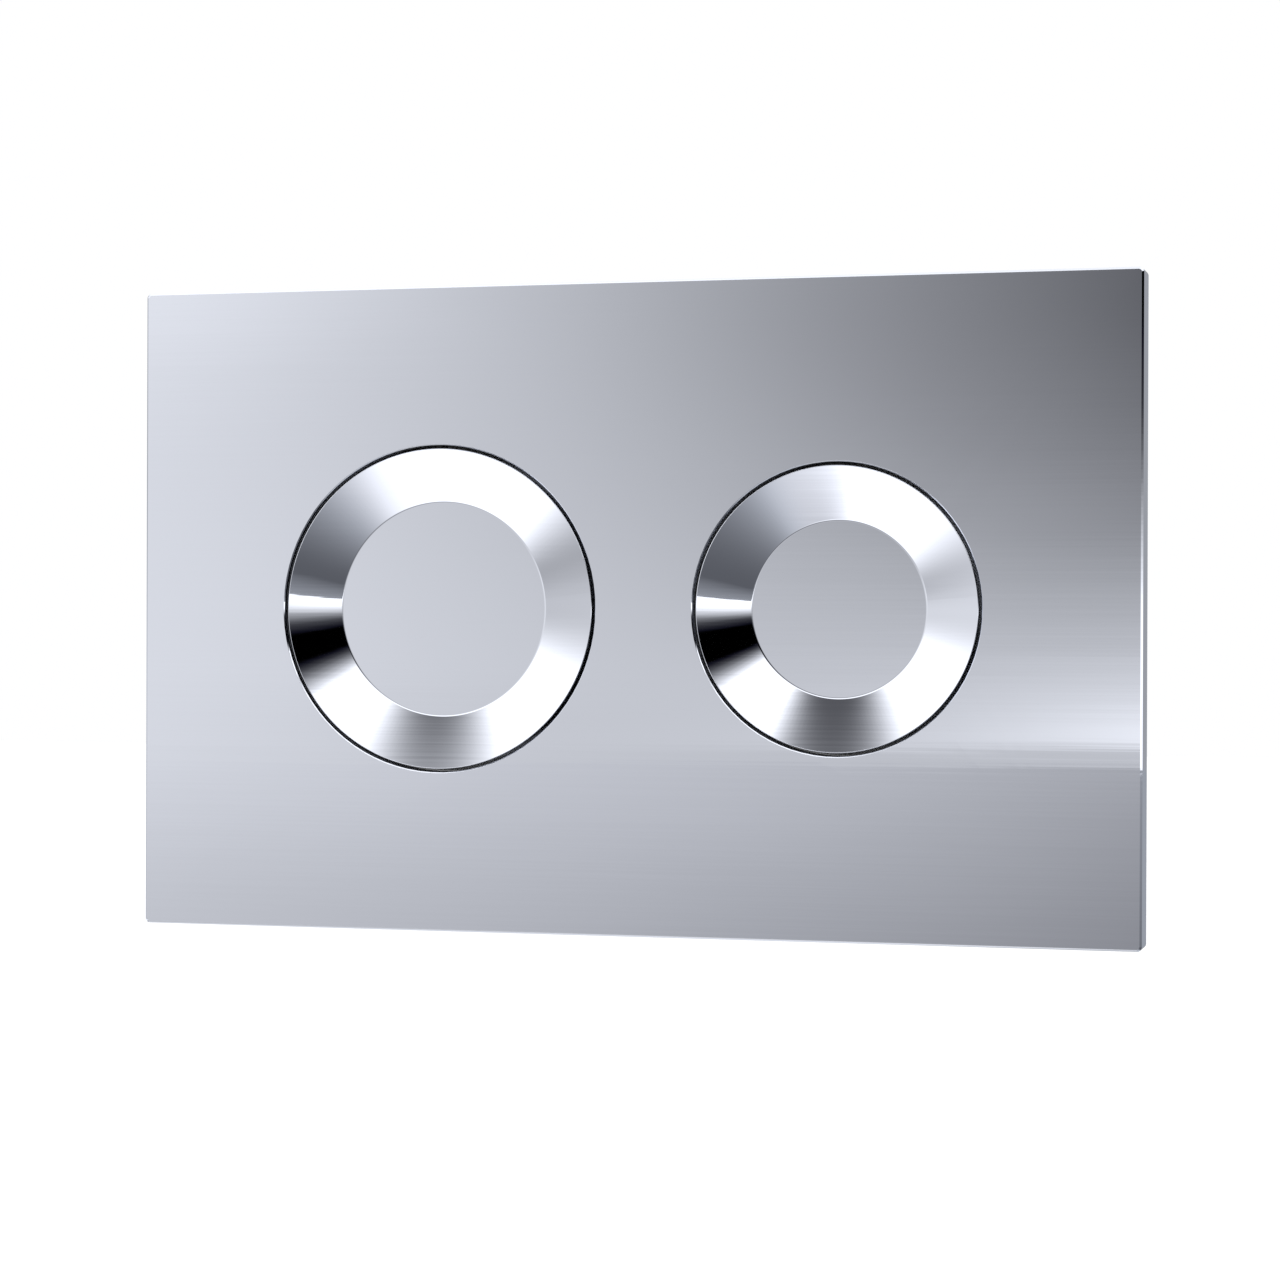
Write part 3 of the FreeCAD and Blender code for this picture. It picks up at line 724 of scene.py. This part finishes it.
# Edge between wall and ground, sharp except far to the left, and the skirting of the wall
HORIZON = -2.36
HORIZON_DROP = 0.08
HORIZON_DROPS = (0.0, 10.0)
HORIZON_BLUR = 0.05
LEFT_BLUR = 3.5
LEFT_BLURS = (-36.0, -44.0)
SKIRTING_STARTS = (-1.88, -2.22)
SKIRTING_SHARE = 0.7
SKIRTING_ENDS = (-3.0, -6.0)

# Room behind: grey at the level of the part, a soft panel overhead
BACK_RISES = (-60.0, -8.0)
BACK_LEVELS = (0.7, 0.42)
BACK_PANEL_COMES = (12.0, 40.0)
BACK_PANEL_LEVEL = 1.2
BACK_STARTS = (95.0, 130.0)

# The left edge of the plate mirrors something dark above its middle and something pale below it
EDGE_WINDOW = (-135.0, -120.0, -105.0, -95.0)
EDGE_TOP = (14.0, 8.0)
EDGE_TURNS = (-1.5, 3.0)
EDGE_ADDS = (0.45, -0.25)

# Share of the light that the steel gives back, and the most that it is shown
STEEL_MIRRORS = 0.79
BRIGHTEST = 1.5

# Tints of the mirrored ground and of the darkest stretches
BLUE_COMES = (-26.0, -12.0)
BLUE_LEFT_SHARE = 0.2
BLUE_GROUND = 0.013
COOL_COMES = (-4.0, 8.0)
COOL_GROUND = 0.027
DARK_BLUE = 0.0065
DARK_BLUE_FULL = 0.008

# Plain light of the room on everything that is not a mirror, and the white backdrop
DOME_LEVEL = 0.60
DOME_SLOPE = 0.30
BACKDROP = 1.0

# Soft spots that make the walls and the ground uneven, each with the middle and the reach of its
# azimuth, those of its elevation, and its share of the level
WALL_SPOTS = (
    (-5.0, 5.5, 4.3, 2.4, 0.13),
    (-12.0, 6.2, 6.1, 3.0, -0.058),
    (-24.5, 4.5, 5.4, 2.6, 0.045),
    (-20.0, 6.0, 3.0, 3.0, -0.015),
    (-18.5, 11.0, -1.9, 1.6, -0.05),
    (-4.0, 6.0, -1.8, 0.8, 0.13),
    (-6.5, 4.0, 0.0, 0.8, -0.035),
    (-7.5, 3.0, 2.4, 0.8, 0.045),
)
GROUND_SPOTS = (
    (-4.5, 6.0, -3.8, 4.0, -0.08),
    (-13.5, 5.0, -3.3, 1.4, 0.022),
    (-24.5, 9.0, -4.7, 2.0, -0.04),
)


def spotted(g, level, az, el, spots):
    """A level with soft lighter and darker spots."""
    total = 1.0
    for at_az, reach_az, at_el, reach_el, share in spots:
        across = g.ramp(g.math("ABSOLUTE", g.add(az, -at_az)), reach_az, 0.0)
        up = g.ramp(g.math("ABSOLUTE", g.add(el, -at_el)), reach_el, 0.0)
        total = g.add(g.mul(g.mul(across, up), share), total)
    return g.mul(level, total)


def wall_level(g, az, el):
    """Level of the wall that stands before the plate."""
    wall = g.ramp(az, *WALL_PALES, *WALL_LEVELS)
    fade = g.mul(g.ramp(az, *WALL_FADES), g.ramp(el, *FADE_RISES, FADE_LOW_SHARE, 1.0))
    level = g.mix(fade, wall, 0.0)
    strip_top = g.add(g.mul(g.window(az, *STRIP_DIP_WINDOW), -STRIP_DIP), STRIP_TOP)
    strip = g.mul(g.ramp(az, *STRIP_GROWS), g.ramp(el, strip_top, STRIP_FULL))
    level = g.mix(strip, level, STRIP_LEVEL)
    low = g.ramp(el, *RIGHT_LOW, 0.0, RIGHT_LOW_ADDS)
    high = g.mul(g.window(el, *RIGHT_HIGH), RIGHT_HIGH_ADDS)
    level = g.add(level, g.mul(g.window(az, *RIGHT_END), g.add(low, high)))
    left = g.ramp(el, *LEFT_HIGH, 0.0, LEFT_HIGH_ADDS)
    level = g.add(level, g.mul(g.window(az, *LEFT_END), left))
    return spotted(g, level, az, el, WALL_SPOTS)


def under_ceiling(g, az, el, level):
    """A level with the white panel, the dark ceiling and the white overhead put over it."""
    along = g.math("MINIMUM", az, PANEL_RIGHT)
    foot = g.line(along, PANEL_LEFT, PANEL_FOOT, PANEL_FOOT_SLOPE)
    softness = g.line(along, PANEL_LEFT, PANEL_SOFTNESS, PANEL_SOFTNESS_SLOPE)
    turn = g.ramp(az, *PANEL_TURNS)
    rise = g.math("DIVIDE", g.math("SUBTRACT", el, foot), softness)
    panel = g.ramp(g.add(rise, g.mul(turn, TURN_LOWERS)), 0.0, 1.0)
    panel = g.math("POWER", panel, g.add(g.mul(turn, TURN_SLOWS), 1.0))
    panel = g.math("MINIMUM", g.mul(panel, g.add(g.mul(turn, TURN_LIFTS), 1.0)), 1.0)
    level = g.mix(panel, level, PANEL_LEVEL)
    leaning = g.math("SUBTRACT", el, g.line(along, CEILING_PIVOT, 0.0, CEILING_SLOPE))
    level = g.mix(g.ramp(leaning, *CEILING_STARTS), level, CEILING_LEVEL)
    aside = g.math("ABSOLUTE", g.add(az, -SIDES_MIDDLE))
    sides = g.mul(g.ramp(aside, *SIDES_START), g.ramp(el, *SIDES_RISE))
    return g.mix(g.math("MAXIMUM", g.ramp(el, *OVERHEAD), sides), level, OVERHEAD_LEVEL)


def ground_level(g, az, el):
    """Level of the ground before the plate."""
    left = g.line(el, GROUND_AT, GROUND_LEFT_LEVEL, GROUND_LEFT_SLOPE)
    right = g.line(el, GROUND_AT, GROUND_RIGHT_LEVEL, GROUND_RIGHT_SLOPE)
    level = g.mix(g.ramp(az, *GROUND_DARKENS), left, right)
    level = g.mul(level, g.ramp(az, *GROUND_FAR_LEFT, GROUND_FAR_LEFT_SHARE, 1.0))
    level = g.math("MAXIMUM", level, GROUND_DARKEST)
    level = spotted(g, level, az, el, GROUND_SPOTS)
    side = g.ramp(g.add(az, g.line(el, LOW_PANEL_AT, 0.0, LOW_PANEL_SLOPE)), *LOW_PANEL_SIDE)
    low = g.mul(g.ramp(el, *LOW_PANEL_COMES), side)
    level = g.mix(low, level, g.ramp(el, *LOW_PANEL_ENDS, *LOW_PANEL_LEVELS))
    return g.mix(g.ramp(el, *BELOW_COMES), level, BELOW_LEVEL)


def directions(g):
    """Azimuth and elevation of a direction in degrees, and the upward part of its unit vector."""
    split = g.node("ShaderNodeSeparateXYZ")
    g.put(split.inputs[0], g.node("ShaderNodeTexCoord").outputs["Generated"])
    x, y, z = split.outputs
    az = g.mul(g.math("ARCTAN2", x, g.mul(y, -1.0)), 180 / math.pi)
    el = g.mul(g.math("ARCSINE", z), 180 / math.pi)
    return az, el, z


def studio(g, az, el):
    """Brightness of the room that polished steel mirrors, and the shares of its two tints."""
    upper = under_ceiling(g, az, el, wall_level(g, az, el))
    blur = g.ramp(az, *LEFT_BLURS, HORIZON_BLUR, LEFT_BLUR)
    edge = g.ramp(az, *HORIZON_DROPS, HORIZON, HORIZON - HORIZON_DROP)
    below = g.ramp(el, g.add(edge, blur), g.add(edge, g.mul(blur, -1.0)))
    skirting = g.mul(g.ramp(el, *SKIRTING_STARTS, 0.0, SKIRTING_SHARE), g.ramp(az, *SKIRTING_ENDS))
    seen = g.mix(g.math("MAXIMUM", below, skirting), upper, ground_level(g, az, el))
    front = g.mul(g.math("MAXIMUM", seen, 0.0), 1 / STEEL_MIRRORS)
    front = g.math("MINIMUM", front, BRIGHTEST)
    behind = g.ramp(el, *BACK_RISES, *BACK_LEVELS)
    behind = g.mix(g.ramp(el, *BACK_PANEL_COMES), behind, BACK_PANEL_LEVEL)
    level = g.mix(g.ramp(g.math("ABSOLUTE", az), *BACK_STARTS), front, behind)
    left_edge = g.mul(g.window(az, *EDGE_WINDOW), g.ramp(el, *EDGE_TOP))
    level = g.mul(level, g.add(g.mul(left_edge, g.ramp(el, *EDGE_TURNS, *EDGE_ADDS)), 1.0))
    blue = g.mul(below, g.ramp(az, *BLUE_COMES, BLUE_LEFT_SHARE, 1.0))
    cool = g.mul(below, g.ramp(az, *COOL_COMES))
    return level, blue, cool


world = bpy.data.worlds.new("studio")
world.use_nodes = True
bpy.context.scene.world = world
g = Graph(world.node_tree)
path = g.node("ShaderNodeLightPath")
az, el, up = directions(g)
mirror, blue, cool = studio(g, az, el)
soft = g.add(g.mul(up, DOME_SLOPE), DOME_LEVEL)
level = g.mix(path.outputs["Is Glossy Ray"], soft, mirror)
level = g.mix(path.outputs["Is Camera Ray"], level, BACKDROP)
seen = g.mul(level, path.outputs["Is Glossy Ray"])
blue = g.mul(g.mul(blue, BLUE_GROUND), seen)
cool = g.mul(g.mul(cool, COOL_GROUND), seen)
dark_blue = g.ramp(level, 0.0, DARK_BLUE_FULL, 0.0, DARK_BLUE)
tint = g.node("ShaderNodeCombineColor")
g.put(tint.inputs["Red"], g.add(level, g.mul(cool, -1.0)))
g.put(tint.inputs["Green"], level)
g.put(tint.inputs["Blue"], g.add(g.add(g.add(level, blue), cool), dark_blue))
background = g.node("ShaderNodeBackground")
g.put(background.inputs["Color"], tint.outputs["Color"])
out = g.node("ShaderNodeOutputWorld")
g.put(out.inputs["Surface"], background.outputs[0])

LAMP_ANGLE = math.radians(35)


def soft_sun(name, direction, strength):
    """Large soft lamp far away that shapes the plastics. Steel mirrors the studio and not the lamp."""
    lamp = bpy.data.lights.new(name, "SUN")
    lamp.energy = strength
    lamp.angle = LAMP_ANGLE
    holder = bpy.data.objects.new(name, lamp)
    bpy.context.scene.collection.objects.link(holder)
    holder.rotation_euler = Vector(direction).to_track_quat("Z", "Y").to_euler()
    holder.visible_glossy = False


soft_sun("front_lamp", direction=(-0.5, -0.8, 0.7), strength=1.0)
soft_sun("back_lamp", direction=(0.6, 0.7, 0.75), strength=1.2)


# Camera, which looks from where the photograph was taken

PHOTO_WIDTH = 1280
FOCAL_PIXELS = 3128.42
SENSOR_WIDTH = 36.0
CAMERA_PLACE = (0.212785, -0.767542, -0.006176)
CAMERA_YAW = math.radians(15.36767)
CAMERA_PITCH = math.radians(0.11995)
CAMERA_ROLL = math.radians(0.19004)
NEAREST_SEEN = 0.01
FARTHEST_SEEN = 20.0
camera = bpy.data.cameras.new("photo_camera")
camera.sensor_width = SENSOR_WIDTH
camera.lens = FOCAL_PIXELS / PHOTO_WIDTH * camera.sensor_width
camera.clip_start = NEAREST_SEEN
camera.clip_end = FARTHEST_SEEN
eye = bpy.data.objects.new("photo_camera", camera)
bpy.context.scene.collection.objects.link(eye)
tilt = Matrix.Rotation(math.pi / 2 - CAMERA_PITCH, 4, "X") @ Matrix.Rotation(CAMERA_ROLL, 4, "Z")
turn = Matrix.Rotation(CAMERA_YAW, 4, "Z") @ tilt
eye.matrix_world = Matrix.Translation(CAMERA_PLACE) @ turn
bpy.context.scene.camera = eye
bpy.context.scene.view_settings.view_transform = "Standard"
